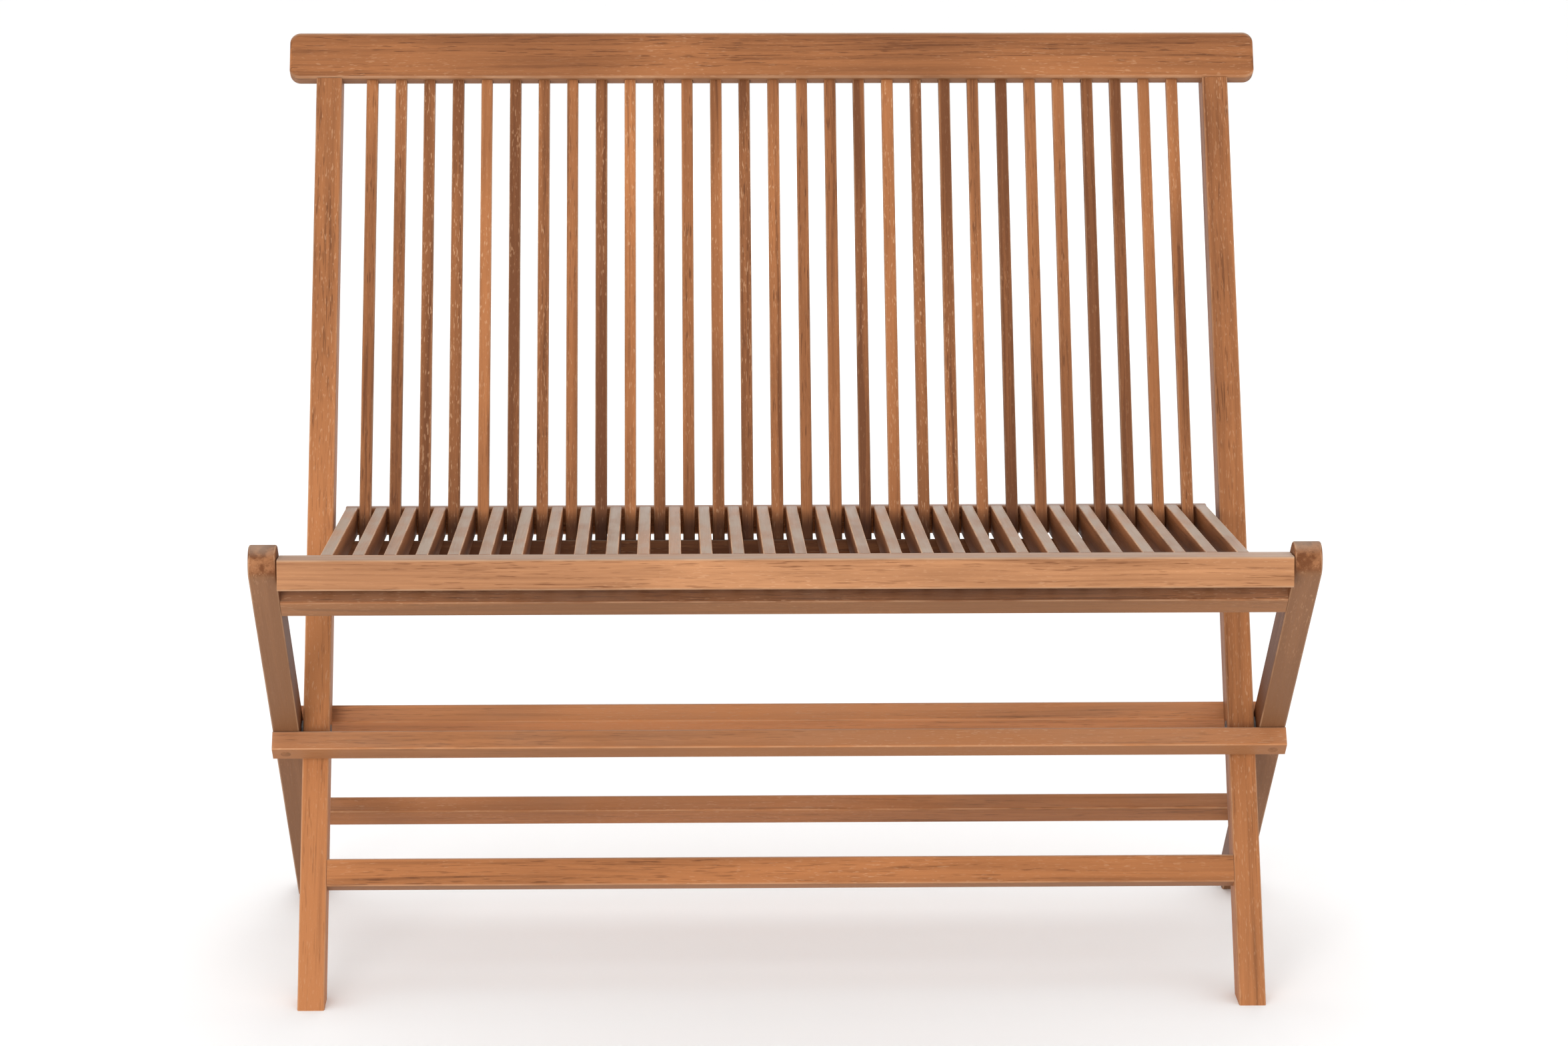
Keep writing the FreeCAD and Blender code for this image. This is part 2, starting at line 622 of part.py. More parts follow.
def make_seat_front_rail():
    body = rail("seat_front_rail", seat_frame(), "Layout.leg_inner - Sizes.seat_side_gap",
                "0", "Sizes.seat_front_depth", "-Sizes.seat_front_height", "0",
                "Sizes.seat_ease")
    cut_seat_mortises(body, "Sizes.seat_front_depth")
    end = "Layout.leg_inner - Sizes.seat_side_gap"
    for sign, side in ((-1, "left"), (1, "right")):
        hole = new_sketch(body, f"{side}_pin_hole", offset=f"{sign} * ({end})")
        draw_circle(hole, "Sizes.seat_pin_setback", "-Sizes.seat_pin_below_top",
                    "Sizes.seat_pin_radius + Sizes.running_fit")
        cut(body, hole, "Sizes.seat_pin_reach + Sizes.sink_clearance")
    return body


def make_seat_rear_rail():
    body = rail("seat_rear_rail", seat_frame(), "Layout.seat_half_width",
                "Layout.seat_rear_start", "Layout.seat_rear_start + Sizes.seat_rear_depth",
                "-Sizes.seat_rear_height", "0", "Sizes.seat_ease")
    cut_seat_mortises(body, "Layout.seat_rear_start")
    return body


def turned_piece(label, placement, steps):
    """A round piece along its own Z axis: each step is a radius and two heights."""
    body = new_body(label, placement)
    outline = new_sketch(body, "half_section", plane="XZ_Plane")
    corners = [("0", steps[0][1])]
    for radius, low, high in steps:
        corners.append((radius, low))
        corners.append((radius, high))
    corners.append(("0", steps[-1][2]))
    draw_outline(outline, corners)
    turning = body.newObject("PartDesign::Revolution", f"{label}_turning")
    turning.Profile = outline
    turning.ReferenceAxis = (outline, ["V_Axis"])
    turning.Angle = 360
    body.Tip = turning
    doc.recompute()
    return body


def across_axis(side, across, y, z):
    """Placement of a round piece whose axis runs outwards across the bench."""
    outwards = FreeCAD.Rotation(FreeCAD.Vector(0, 0, 1), FreeCAD.Vector(side, 0, 0))
    return FreeCAD.Placement(FreeCAD.Vector(side * across, y, z), outwards)


def make_pivot_bolt(label, side):
    """Pivot bolt: shank from the nut's end to the head in the leg's counterbore."""
    placement = across_axis(side, layout["stile_inner"], layout["pivot_y"], layout["pivot_z"])
    head = "Layout.half_width - Layout.stile_inner - Sizes.bolt_sink_depth"
    return turned_piece(label, placement, [
        ("Sizes.bolt_radius", "0", head),
        ("Sizes.bolt_head_radius", head, f"{head} + Sizes.bolt_head_height"),
    ])


def make_seat_pin(label, side):
    """Seat pin: from inside the seat's front rail to the plug in the leg."""
    inside = "Sizes.seat_side_gap + Sizes.seat_pin_reach"
    placement = across_axis(side, layout["leg_inner"], layout["seat_pin_y"],
                            layout["seat_pin_z"])
    return turned_piece(label, placement, [
        ("Sizes.seat_pin_radius", f"-({inside})", "Sizes.leg_width - Sizes.plug_depth"),
    ])


def round_ring(name, placement, outer, inner, thickness):
    """A plain ring along its own Z axis."""
    disc = doc.addObject("Part::Cylinder", f"{name}_disc")
    disc.setExpression("Radius", outer)
    disc.setExpression("Height", thickness)
    bore = doc.addObject("Part::Cylinder", f"{name}_bore")
    bore.setExpression("Radius", inner)
    bore.setExpression("Height", thickness)
    ring = doc.addObject("Part::Cut", name)
    ring.Base = disc
    ring.Tool = bore
    ring.Placement = placement
    return ring


def round_bar(name, placement, radius, length):
    bar = doc.addObject("Part::Cylinder", name)
    bar.setExpression("Radius", radius)
    bar.setExpression("Height", length)
    bar.Placement = placement
    return bar


def group(label, pieces):
    """Like pieces in one sub-part, each a solid of its own."""
    compound = doc.addObject("Part::Compound", label)
    compound.Label = label
    compound.Links = pieces
    sub_parts.append(compound)
    return compound


def make_pivot_washers():
    rings = []
    for side in (-1, 1):
        placement = across_axis(side, layout["stile_outer"], layout["pivot_y"],
                                layout["pivot_z"])
        rings.append(round_ring(f"washer_{'left' if side < 0 else 'right'}", placement,
                                "Sizes.washer_radius", "Sizes.bolt_radius",
                                "Sizes.frame_gap"))
    return group("pivot_washers", rings)


def make_pivot_nuts():
    rings = []
    for side in (-1, 1):
        seat = layout["stile_inner"] + size("bolt_sink_depth") - size("nut_height")
        placement = across_axis(side, seat, layout["pivot_y"], layout["pivot_z"])
        rings.append(round_ring(f"nut_{'left' if side < 0 else 'right'}", placement,
                                "Sizes.nut_radius", "Sizes.bolt_radius",
                                "Sizes.nut_height"))
    return group("pivot_nuts", rings)


def stop_screw_placement(side, face, depth):
    """Placement of a round piece that enters a stop rail from its outer face."""
    across = side * (layout["half_width"] - size("leg_width") / 2)
    height = value(SCREW_HEIGHT[face])
    if face == "front":
        start = -size("stop_rail_depth") + depth
        inwards = FreeCAD.Vector(0, 1, 0)
    else:
        start = size("leg_depth") + size("stop_rail_depth") - depth
        inwards = FreeCAD.Vector(0, -1, 0)
    local = FreeCAD.Placement(FreeCAD.Vector(across, start, height),
                              FreeCAD.Rotation(FreeCAD.Vector(0, 0, 1), inwards))
    return leg_frame().multiply(local)


STOP_CORNERS = [(side, face) for face in ("front", "rear") for side in (-1, 1)]


def make_stop_rail_screws():
    screws = []
    for side, face in STOP_CORNERS:
        name = f"screw_{face}_{'left' if side < 0 else 'right'}"
        placement = stop_screw_placement(side, face, size("plug_depth"))
        head = round_bar(f"{name}_head", placement, "Sizes.screw_head_radius",
                         "Sizes.screw_head_height")
        shank = round_bar(f"{name}_shank", placement, "Sizes.screw_radius",
                          "Sizes.screw_head_height + Sizes.screw_length")
        screw = doc.addObject("Part::Fuse", name)
        screw.Base = head
        screw.Tool = shank
        screws.append(screw)
    return group("stop_rail_screws", screws)


def make_plugs():
    plugs = []
    for side, face in STOP_CORNERS:
        name = f"plug_{face}_{'left' if side < 0 else 'right'}"
        plugs.append(round_bar(name, stop_screw_placement(side, face, 0),
                               "Sizes.plug_radius", "Sizes.plug_depth"))
    for side in (-1, 1):
        across = layout["half_width"] - size("plug_depth")
        placement = across_axis(side, across, layout["seat_pin_y"], layout["seat_pin_z"])
        plugs.append(round_bar(f"plug_pin_{'left' if side < 0 else 'right'}", placement,
                               "Sizes.plug_radius", "Sizes.plug_depth"))
    return group("wood_plugs", plugs)


# Back frame
make_stile("stile_left", -1)
make_stile("stile_right", 1)
make_crest_rail()
lower_rail = tenoned_rail("lower_back_rail", back_frame(), "Layout.stile_inner", *LOWER_RAIL)
cut_slat_mortises(lower_rail, "Sizes.lower_rail_top")
tenoned_rail("front_stretcher", back_frame(), "Layout.stile_inner", *FOOT_RAIL)
slat_count = int(size("back_slat_count"))
for index in range(slat_count):
    make_back_slat(f"back_slat_{index + 1:02d}",
                   (index - (slat_count - 1) / 2) * layout["slat_pitch"])

# Leg frame
make_leg("leg_left", -1)
make_leg("leg_right", 1)
tenoned_rail("upper_rail", leg_frame(), "Layout.leg_inner", *UPPER_RAIL)
tenoned_rail("rear_stretcher", leg_frame(), "Layout.leg_inner", *REAR_RAIL)
make_stop_rail("front_stop_rail", "front")
make_stop_rail("rear_stop_rail", "rear")

# Seat
make_seat_front_rail()
make_seat_rear_rail()
for index in range(int(size("seat_slat_groups"))):
    make_seat_slats(f"seat_slats_{index + 1:02d}", index)

# Pins, bolts and what covers them
make_pivot_bolt("pivot_bolt_left", -1)
make_pivot_bolt("pivot_bolt_right", 1)
make_seat_pin("seat_pin_left", -1)
make_seat_pin("seat_pin_right", 1)
make_pivot_washers()
make_pivot_nuts()
make_stop_rail_screws()
make_plugs()
doc.recompute()

# The origin is on the floor, under the middle of the bench from front to back.
boxes = [part.Shape.optimalBoundingBox(False) for part in sub_parts]
middle = (min(box.YMin for box in boxes) + max(box.YMax for box in boxes)) / 2
for part in sub_parts:
    shift = FreeCAD.Placement(FreeCAD.Vector(0, -middle, 0), FreeCAD.Rotation())
    part.Placement = shift.multiply(part.Placement)
doc.recompute()

for item in doc.Objects:
    if "Invalid" in item.State or "Error" in item.State:
        raise RuntimeError(f"{item.Name} did not build: {item.State}")
os.makedirs("parts", exist_ok=True)
for part in sub_parts:
    shape = part.Shape
    if shape.isNull() or not shape.isValid():
        raise RuntimeError(f"{part.Label} has no valid shape")
    shape.exportStep(f"parts/{part.Label}.step")

print("sub-parts", len(sub_parts))
print("pivot axis at Y", round(layout["pivot_y"] - middle, 4), "Z", round(layout["pivot_z"], 4))
print("seat pin axis at Y", round(layout["seat_pin_y"] - middle, 4),
      "Z", round(layout["seat_pin_z"], 4))
print("leg foot's front edge at Y", round(layout["leg_foot_y"] - middle, 4),
      "and stile foot's front edge at Y", round(-middle, 4))
print("seat slope in degrees", round(layout["seat_slope"], 3))
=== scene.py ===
from math import pi, radians

import bpy
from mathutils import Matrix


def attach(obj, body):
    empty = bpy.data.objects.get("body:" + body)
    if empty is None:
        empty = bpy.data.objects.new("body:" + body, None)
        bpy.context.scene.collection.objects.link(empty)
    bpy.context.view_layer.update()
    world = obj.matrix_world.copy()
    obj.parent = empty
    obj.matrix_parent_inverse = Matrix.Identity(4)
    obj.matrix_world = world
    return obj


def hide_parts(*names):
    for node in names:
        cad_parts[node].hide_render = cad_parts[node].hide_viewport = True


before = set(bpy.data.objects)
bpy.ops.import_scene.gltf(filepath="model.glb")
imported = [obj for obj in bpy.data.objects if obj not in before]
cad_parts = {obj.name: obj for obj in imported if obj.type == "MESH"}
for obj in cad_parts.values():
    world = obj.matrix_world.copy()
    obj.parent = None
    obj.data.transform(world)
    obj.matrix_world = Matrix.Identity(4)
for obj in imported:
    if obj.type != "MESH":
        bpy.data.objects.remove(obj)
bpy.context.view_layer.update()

# Stiles: two posts of solid teak, sawn square, sanded and oiled, that lean back from the front feet
# to the crest rail. Their grain runs along them, so the figure is turned to their lean.
BACK_LEAN = radians(30)
ALONG_BACK = (BACK_LEAN, 0, 0)
HONEY, BROWN = (0.44, 0.168, 0.058, 1), (0.14, 0.046, 0.014, 1)


def put(tree, kind, feeds=None, **settings):
    """Adds a node, applies its settings, and sets or links its inputs by name or number."""
    made = tree.nodes.new(kind)
    for name, value in settings.items():
        setattr(made, name, value)
    for socket, value in (feeds or {}).items():
        if isinstance(value, bpy.types.NodeSocket):
            tree.links.new(value, made.inputs[socket])
        else:
            made.inputs[socket].default_value = value
    return made


def new_group(name, kind, takes, gives):
    """An empty node group with named sockets: its tree, its input sockets and its output node."""
    tree = bpy.data.node_groups.new(name, kind)
    for title, (socket, value) in takes.items():
        made = tree.interface.new_socket(title, in_out="INPUT", socket_type="NodeSocket" + socket)
        if value is not None:
            made.default_value = value
    for title, socket in gives.items():
        tree.interface.new_socket(title, in_out="OUTPUT", socket_type="NodeSocket" + socket)
    return tree, tree.nodes.new("NodeGroupInput").outputs, tree.nodes.new("NodeGroupOutput").inputs


def sum_up(tree, operation, first, second=0.0, third=0.0, clamp=False):
    """One Math node's result."""
    return put(tree, "ShaderNodeMath", {0: first, 1: second, 2: third}, operation=operation,
               use_clamp=clamp).outputs[0]


def vector_sum(tree, operation, *vectors, result=0):
    """One Vector Math node's result."""
    return put(tree, "ShaderNodeVectorMath", dict(enumerate(vectors)),
               operation=operation).outputs[result]


def parts_of(tree, vector):
    """A vector's three numbers."""
    return put(tree, "ShaderNodeSeparateXYZ", {0: vector}).outputs


def vector_of(tree, x=0.0, y=0.0, z=0.0):
    """Three numbers as one vector."""
    return put(tree, "ShaderNodeCombineXYZ", {0: x, 1: y, 2: z}).outputs[0]


def drawn_out(tree, place, across, along, detail=2.0, rough=0.5, give=0):
    """Noise drawn out along the grain, with its cells per metre across the grain and along it."""
    place = vector_sum(tree, "MULTIPLY", place, (across, across, along))
    return put(tree, "ShaderNodeTexNoise", {"Vector": place, "Scale": 1.0, "Detail": detail,
                                            "Roughness": rough}).outputs[give]


def between(tree, value, start, end, at_start=0.0, at_end=1.0):
    """A smooth step as a value goes from start to end."""
    return put(tree, "ShaderNodeMapRange", {0: value, 1: start, 2: end, 3: at_start, 4: at_end},
               interpolation_type="SMOOTHSTEP").outputs[0]


def tint(tree, factor, under, over):
    """Lays one colour over another."""
    return put(tree, "ShaderNodeMix", {0: factor, 6: under, 7: over}, data_type="RGBA").outputs[2]


def make_teak_figure():
    """Teak as a solid: growth rings round a far pith, dark streaks, fibres, vessels and pores."""
    pith, ring_rate, ring_drift, ring_sharpness = (0.11, 0.07, 0), 1150.0, 14.0, 3.0
    sway_reach = (0.018, 0.018, 0.0)
    pale_pore = (0.62, 0.36, 0.20, 1)
    vessel_darkness, end_lift, lost_pores = 0.42, 0.4, -0.8
    smoothest, fibre_roughness, end_roughness = 0.44, 0.22, 0.15
    pore_height, ring_height = -0.5, 0.25
    tree, takes, gives = new_group("teak_figure", "ShaderNodeTree", {
        "Place": ("Vector", None), "Facing": ("Vector", None), "Honey": ("Color", HONEY),
        "Brown": ("Color", BROWN), "Tone": ("Float", 0.0), "Drift": ("Float", 0.0),
        "Streaks": ("Float", 0.5), "Pores": ("Float", 0.5),
    }, {"Color": "Color", "Roughness": "Float", "Height": "Float"})

    # The grain's lines sway a little, so all marks but vessels and blotches follow a swayed place.
    straight = takes["Place"]
    sway = drawn_out(tree, straight, across=9.0, along=2.2, detail=1.0, give="Color")
    sway = vector_sum(tree, "SUBTRACT", sway, (0.5, 0.5, 0.5))
    place = vector_sum(tree, "ADD", straight, vector_sum(tree, "MULTIPLY", sway, sway_reach))

    patch = drawn_out(tree, place, across=10.0, along=3.0)
    drift = drawn_out(tree, place, across=55.0, along=2.0)
    from_pith = vector_sum(tree, "MULTIPLY_ADD", place, (1, 1, 0), pith)
    from_pith = vector_sum(tree, "LENGTH", from_pith, result=1)
    phase = sum_up(tree, "MULTIPLY", drift, ring_drift)
    phase = sum_up(tree, "MULTIPLY_ADD", from_pith, ring_rate, phase)
    ring = sum_up(tree, "MULTIPLY_ADD", sum_up(tree, "SINE", phase), 0.5, 0.5)
    ring = sum_up(tree, "POWER", ring, ring_sharpness)
    ring = sum_up(tree, "MULTIPLY", ring, between(tree, patch, start=0.62, end=0.38, at_start=0.2))
    band = drawn_out(tree, place, across=120.0, along=1.6)
    streak = drawn_out(tree, place, across=170.0, along=3.0, detail=3.0, rough=0.6)
    streak = between(tree, streak, start=0.54, end=0.74)
    fibre = drawn_out(tree, place, across=800.0, along=14.0, rough=0.6)
    vessel = drawn_out(tree, straight, across=750.0, along=42.0, detail=1.0)
    vessel = sum_up(tree, "MULTIPLY", between(tree, vessel, start=0.58, end=0.70),
                    between(tree, drift, start=0.60, end=0.42, at_start=0.1))
    pore = drawn_out(tree, place, across=780.0, along=130.0, detail=1.0)
    pore = sum_up(tree, "MULTIPLY", between(tree, pore, start=0.61, end=0.70),
                  between(tree, patch, start=0.40, end=0.62, at_start=0.15))

    # End grain is blotched by the oil it drinks and shows few pores.
    end_grain = sum_up(tree, "ABSOLUTE", parts_of(tree, takes["Facing"])[2])
    end_grain = between(tree, end_grain, start=0.35, end=0.8)
    blotch = drawn_out(tree, straight, across=90.0, along=30.0, detail=3.0)
    blotch = between(tree, blotch, start=0.42, end=0.6, at_start=0.1, at_end=0.6)
    blotch = sum_up(tree, "MULTIPLY", end_grain, blotch)
    kept_pores = sum_up(tree, "MULTIPLY_ADD", end_grain, lost_pores, 1.0)
    pore = sum_up(tree, "MULTIPLY", pore, kept_pores)

    # The shade runs from 0, brown, to 1, honey, and each mark moves it by its own amount.
    # Drift paints the board darker or lighter along its length: painted shade and light.
    along = parts_of(tree, straight)[2]
    shade = sum_up(tree, "MULTIPLY_ADD", along, takes["Drift"], takes["Tone"])
    shade = sum_up(tree, "MULTIPLY_ADD", shade, 0.5, 0.5)
    for mark, amount in [(patch, 0.22), (band, 0.13)]:
        moved = between(tree, mark, start=0.3, end=0.7, at_start=-amount, at_end=amount)
        shade = sum_up(tree, "ADD", shade, moved)
    for mark, amount in [(ring, -0.11), (fibre, 0.30)]:
        shade = sum_up(tree, "MULTIPLY_ADD", mark, amount, shade)
    dark = sum_up(tree, "MULTIPLY", streak, takes["Streaks"])
    dark = sum_up(tree, "MULTIPLY_ADD", vessel, vessel_darkness, dark)
    shade = sum_up(tree, "SUBTRACT", shade, dark, clamp=True)
    shade = sum_up(tree, "MULTIPLY_ADD", end_grain, end_lift, shade)
    shade = sum_up(tree, "SUBTRACT", shade, blotch, clamp=True)
    colour = tint(tree, shade, takes["Brown"], takes["Honey"])
    shown = sum_up(tree, "MULTIPLY", pore, takes["Pores"])
    rough = sum_up(tree, "MULTIPLY_ADD", fibre, fibre_roughness, smoothest)
    rough = sum_up(tree, "MULTIPLY_ADD", end_grain, end_roughness, rough)
    height = sum_up(tree, "MULTIPLY_ADD", pore, pore_height, fibre)
    height = sum_up(tree, "MULTIPLY_ADD", ring, ring_height, height)
    tree.links.new(tint(tree, shown, colour, pale_pore), gives["Color"])
    tree.links.new(rough, gives["Roughness"])
    tree.links.new(height, gives["Height"])
    return tree


def make_worn_and_highlit_arris():
    """Paler round edges along the grain: wear from hands and weather, with a painted highlight."""
    flat_face, round_edge = 0.995, 0.86
    rubbed_and_highlight_colour = (0.60, 0.37, 0.22, 1)
    tree, takes, gives = new_group("worn_arris", "ShaderNodeTree", {
        "Color": ("Color", None), "Place": ("Vector", None), "Facing": ("Vector", None),
        "Amount": ("Float", 0.5),
    }, {"Color": "Color"})
    facing = vector_sum(tree, "MULTIPLY", takes["Facing"], (1, 1, 0))
    side = parts_of(tree, vector_sum(tree, "NORMALIZE", facing))
    squarest = sum_up(tree, "MAXIMUM", sum_up(tree, "ABSOLUTE", side[0]),
                      sum_up(tree, "ABSOLUTE", side[1]))
    edge_patches = drawn_out(tree, takes["Place"], across=60.0, along=22.0)
    edge = sum_up(tree, "MULTIPLY", between(tree, squarest, start=flat_face, end=round_edge),
                  between(tree, edge_patches, start=0.35, end=0.62, at_start=0.35))
    edge = sum_up(tree, "MULTIPLY", edge, takes["Amount"])
    tree.links.new(tint(tree, edge, takes["Color"], rubbed_and_highlight_colour), gives["Color"])
    return tree


def make_sun_grey_sheen_and_shade():
    """Grey from sun and dust with a painted sheen on upward faces, and painted shade on downward
    ones.
    """
    sun_grey_and_sheen_colour, painted_underside_shade_colour = (0.35, 0.265, 0.20, 1), (0.24, 0.120, 0.058, 1)
    tree, takes, gives = new_group("sun_bleach", "ShaderNodeTree", {
        "Color": ("Color", None), "Place": ("Vector", None), "Normal": ("Vector", None),
        "Amount": ("Float", 0.5), "Under": ("Float", 0.6),
    }, {"Color": "Color"})
    tilt = parts_of(tree, takes["Normal"])[2]
    # Painted shade: faces that look down are darker.
    under = between(tree, tilt, start=-0.25, end=-0.6)
    under = sum_up(tree, "MULTIPLY", under, takes["Under"])
    colour = tint(tree, under, takes["Color"], painted_underside_shade_colour)
    # Real grey from sun and dust, with a painted sheen, on faces that look up.
    cloud = drawn_out(tree, takes["Place"], across=38.0, along=12.0, detail=3.0)
    up = sum_up(tree, "MULTIPLY", between(tree, tilt, start=0.45, end=0.95),
                between(tree, cloud, start=0.30, end=0.66, at_start=0.55))
    up = sum_up(tree, "MULTIPLY", up, takes["Amount"])
    tree.links.new(tint(tree, up, colour, sun_grey_and_sheen_colour), gives["Color"])
    return tree


def make_painted_depth_shade():
    """Painted shade: darker wood below a sloping line, where shade falls between the slats.

    The line is Top metres high halfway from front to back and falls by Fall per metre backwards.
    The wood is darkest from Reach below it on, or from above it where Reach is negative.
    """
    # The painted shade's darkest colour.
    painted_shade_colour = (0.028, 0.005, 0.001, 1)
    tree, takes, gives = new_group("shaded_depth", "ShaderNodeTree", {
        "Color": ("Color", None), "Position": ("Vector", None), "Amount": ("Float", 0.5),
        "Top": ("Float", 0.44), "Fall": ("Float", 0.087), "Reach": ("Float", 0.018),
    }, {"Color": "Color"})
    spot = parts_of(tree, takes["Position"])
    level = sum_up(tree, "MULTIPLY_ADD", spot[1], takes["Fall"], spot[2])
    deep = sum_up(tree, "DIVIDE", sum_up(tree, "SUBTRACT", takes["Top"], level), takes["Reach"])
    deep = sum_up(tree, "MULTIPLY", between(tree, deep, start=0.0, end=1.0), takes["Amount"])
    tree.links.new(tint(tree, deep, takes["Color"], painted_shade_colour), gives["Color"])
    return tree


teak_figure, worn_arris, sun_bleach = make_teak_figure(), make_worn_and_highlit_arris(), make_sun_grey_sheen_and_shade()
shaded_depth = make_painted_depth_shade()


def teak(name, turn, shift, tone=0.0, streaks=0.4, pores=0.35, arris_wear_and_highlight=0.35, sun_grey_and_sheen=0.5, under=0.6,
         drift=0.0, honey=HONEY, tone_from=None, spread=0.0, shade=None):
    """One board's material: the figure turned to its grain, then its weathering and its edges,
    with painted sheen on upward faces, painted shade below and painted highlights on the edges.

    The shift is where in the tree the board was sawn. A shade holds the painted depth shade's
    inputs.
    """
    fibre_relief, relief_height, oiled_gloss = 0.35, 0.0006, 0.18
    made = bpy.data.materials.new(name)
    made.use_nodes = True
    tree = made.node_tree
    shader = tree.nodes["Principled BSDF"].inputs
    space = put(tree, "ShaderNodeTexCoord").outputs
    place = put(tree, "ShaderNodeMapping", {"Vector": space["Object"], "Location": shift,
                                            "Rotation": turn}).outputs[0]
    facing = put(tree, "ShaderNodeMapping", {"Vector": space["Normal"], "Rotation": turn},
                 vector_type="NORMAL").outputs[0]
    if tone_from:
        board = put(tree, "ShaderNodeAttribute", attribute_name=tone_from).outputs["Fac"]
        tone = sum_up(tree, "MULTIPLY_ADD", board, spread, tone)
    figure = put(tree, "ShaderNodeGroup", {
        "Place": place, "Facing": facing, "Honey": honey, "Tone": tone, "Drift": drift,
        "Streaks": streaks, "Pores": pores}, node_tree=teak_figure).outputs
    # Sun-grey with a painted sheen on upward faces, and painted shade on downward ones.
    colour = put(tree, "ShaderNodeGroup", {
        "Color": figure["Color"], "Place": place, "Normal": space["Normal"], "Amount": sun_grey_and_sheen,
        "Under": under}, node_tree=sun_bleach).outputs["Color"]
    # Worn edges with a painted highlight.
    colour = put(tree, "ShaderNodeGroup", {
        "Color": colour, "Place": place, "Facing": facing, "Amount": arris_wear_and_highlight},
        node_tree=worn_arris).outputs["Color"]
    # Painted shade below a sloping line, where shade falls between the parts.
    if shade:
        colour = put(tree, "ShaderNodeGroup", {
            "Color": colour, "Position": space["Object"], **shade},
            node_tree=shaded_depth).outputs["Color"]
    relief = put(tree, "ShaderNodeBump", {"Height": figure["Height"], "Strength": fibre_relief,
                                          "Distance": relief_height}).outputs[0]
    tree.links.new(colour, shader["Base Color"])
    tree.links.new(figure["Roughness"], shader["Roughness"])
    tree.links.new(relief, shader["Normal"])
    shader["Specular IOR Level"].default_value = oiled_gloss
    return made


def finish_nodes(material, *names):
    """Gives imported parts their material."""
    for name in names:
        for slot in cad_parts[name].material_slots:
            slot.material = material


# Tone and drift paint each stile darker towards its top and lighter low down: painted shade and
# light.
finish_nodes(teak("stile_left_teak", ALONG_BACK, shift=(0.3, 0.1, 0.45), tone=1.7, drift=-1.9),
             "stile_left")
finish_nodes(teak("stile_right_teak", ALONG_BACK, shift=(1.7, 0.4, 0.3), tone=0.35, drift=-0.85),
             "stile_right")

# Crest rail: one wide teak board with rounded corners, glued over a tongue at the top of each
# stile, with a row of mortises underneath for the back slats.
ACROSS_BACK = (BACK_LEAN, -pi / 2, 0)
finish_nodes(teak("crest_teak", ACROSS_BACK, shift=(0.7, 0.2, 0.9), tone=-0.3, streaks=0.3),
             "crest_rail")

# Lower back rail and front stretcher: teak rails tenoned between the stiles, one under the seat to
# hold the feet of the back slats and one near the floor to keep the stiles apart.
SEAT_FALL = 0.087
# The lower back rail's low tone and its shade paint it dark under the seat: painted shade.
finish_nodes(teak("lower_back_teak", ACROSS_BACK, shift=(0.2, 1.3, 0.5), tone=-0.8,
                  shade={"Amount": 0.45, "Top": 0.44, "Fall": SEAT_FALL, "Reach": 0.02}),
             "lower_back_rail")
finish_nodes(teak("front_stretcher_teak", ACROSS_BACK, shift=(0.1, 2.3, 1.1), tone=0.4),
             "front_stretcher")

# Back slats: thin teak strips with eased edges, glued into the crest rail and the lower back rail.
# They come from many boards, so each has a tone of its own.
SLAT_PITCH, SLAT_WIDTH, SLAT_EASE = 0.0293, 0.012, 0.0015
BACK_SLAT_COUNT, BACK_SLAT_DEPTH, BACK_SLAT_LENGTH = 29, 0.010, 0.5198
BACK_SLAT_SET_BACK, BACK_SLAT_START = 0.011, 0.4637
BACK_FOOT = (0, -0.2072567, 0)


